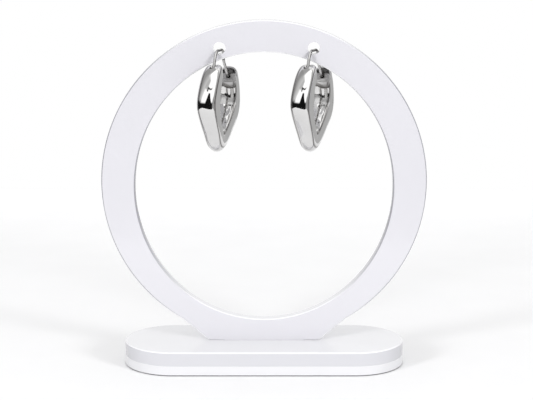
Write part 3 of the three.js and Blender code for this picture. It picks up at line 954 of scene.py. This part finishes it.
# Ear wire: drawn round silver wire, flattened and drilled at the front to turn on the rivet,
# bent over the edge of the stand's hole and down into the notch of the latch plate.
WIRE_START = 0.4
FACE_DROP = 0.08 * MM
FRONT_LEG = (1.2, 0.45)
REAR_LEG = [(0.85, 0.2), (1.1, 2.0)]
WIRE_SAG = [(0.45, 0.1, 0.2), (0.75, 0.2, 0.25)]
WIRE_STEPS = 120
WIRE_SIDES = 24
TIP_ROUNDING = 0.12 * MM
TIP_STEPS = 6
EYE_SIDES = 64
EYE_EDGE = 0.12 * MM
side_shift = RING_SHEET / 2 * math.tan(most_yaw)
free_radius = HOLE_RADIUS - WIRE_RADIUS - WIRE_FIT
face_z = -math.sqrt(free_radius ** 2 - side_shift ** 2)
over_hole = [
    (-half_through - FRONT_LEG[0] * MM, -HOLE_RADIUS - FRONT_LEG[1] * MM),
    (-half_through, face_z),
    (0.0, face_z + FACE_DROP),
    (half_through, face_z),
] + [(half_through + away * MM, -HOLE_RADIUS - below * MM) for away, below in REAR_LEG]
over_hole = [Vector((u, 0.0, z)) - pin_from_hole for u, z in over_hole]
tip = mouth_centre - mouth_out * (LATCH_RECESS + LATCH_SHEET + TIP_REACH) - mouth_up * TIP_DROP
start = over_hole[0].normalized() * (eye_radius - EYE_WALL + EYE_WALL * WIRE_START)
sagging = [over_hole[-1].lerp(tip, share) - Vector((ahead, 0.0, down)) * MM
           for share, ahead, down in WIRE_SAG]
bends = [start] + over_hole + sagging + [tip]


def centripetal(points, share):
    """A point on the bend line through the points, with each stretch timed by its length."""
    place = (len(points) - 1) * share
    index = min(int(place), len(points) - 2)
    t = place - index
    p1, p2 = points[index], points[index + 1]
    p0 = points[index - 1] if index > 0 else 2 * p1 - p2
    p3 = points[index + 2] if index + 2 < len(points) else 2 * p2 - p1
    d0, d1, d2 = (math.sqrt((b - a).length) for a, b in ((p0, p1), (p1, p2), (p2, p3)))
    v1 = ((p1 - p0) / d0 - (p2 - p0) / (d0 + d1) + (p2 - p1) / d1) * d1
    v2 = ((p2 - p1) / d1 - (p3 - p1) / (d1 + d2) + (p3 - p2) / d2) * d1
    return ((2 * p1 - 2 * p2 + v1 + v2) * t ** 3 + (3 * p2 - 3 * p1 - 2 * v1 - v2) * t ** 2
            + v1 * t + p1)


line = [centripetal(bends, i / WIRE_STEPS) for i in range(WIRE_STEPS + 1)]


def wire_section(i, shrink=1.0, push=0.0):
    """The points round the wire at a step of its length, square to its middle line."""
    along = (line[min(i + 1, WIRE_STEPS)] - line[max(i - 1, 0)]).normalized()
    outward = Vector((along.z, 0.0, -along.x))
    return [
        line[i] + along * push + outward * (WIRE_RADIUS * shrink * math.cos(a))
        + Vector((0.0, WIRE_RADIUS * shrink * math.sin(a), 0.0))
        for a in (2 * math.pi * k / WIRE_SIDES for k in range(WIRE_SIDES))
    ]


tip_round = [wire_section(WIRE_STEPS, math.cos(a), TIP_ROUNDING * math.sin(a) - TIP_ROUNDING)
             for a in (math.pi / 2 * i / TIP_STEPS for i in range(1, TIP_STEPS + 1))]
wire = wrapped("wire_pattern", [wire_section(0, 0.0)]
               + [wire_section(i) for i in range(WIRE_STEPS)]
               + [wire_section(WIRE_STEPS, 1.0, -TIP_ROUNDING)] + tip_round)
eye = disc_across(eye_radius, eye_radius, EYE_THICKNESS, (0.0, 0.0, 0.0), EYE_SIDES)
ease(eye, EYE_EDGE, 3)
cut(eye, disc_across(PIN_RADIUS + PIN_FIT, PIN_RADIUS + PIN_FIT, 3 * EYE_THICKNESS,
                     (0.0, 0.0, 0.0), PIN_SIDES))
cut(wire, eye, "UNION")
smooth(wire, 45.0)
# The wire's silver is darkened a little all over, and strongly along its two flanks as a painted dark
# reflection.
darkening_and_painted_reflection(wire, lambda place: 0.2 + 0.7 * min(1.0, (place.y / WIRE_RADIUS) ** 4))
dress(wire, silver)
for side in ("left", "right"):
    bent = hung(wire, side, f"{side}_bent_wire")
    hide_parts(f"{side}_ear_wire")
    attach(bent, f"{side}_wire")
bpy.data.objects.remove(wire)
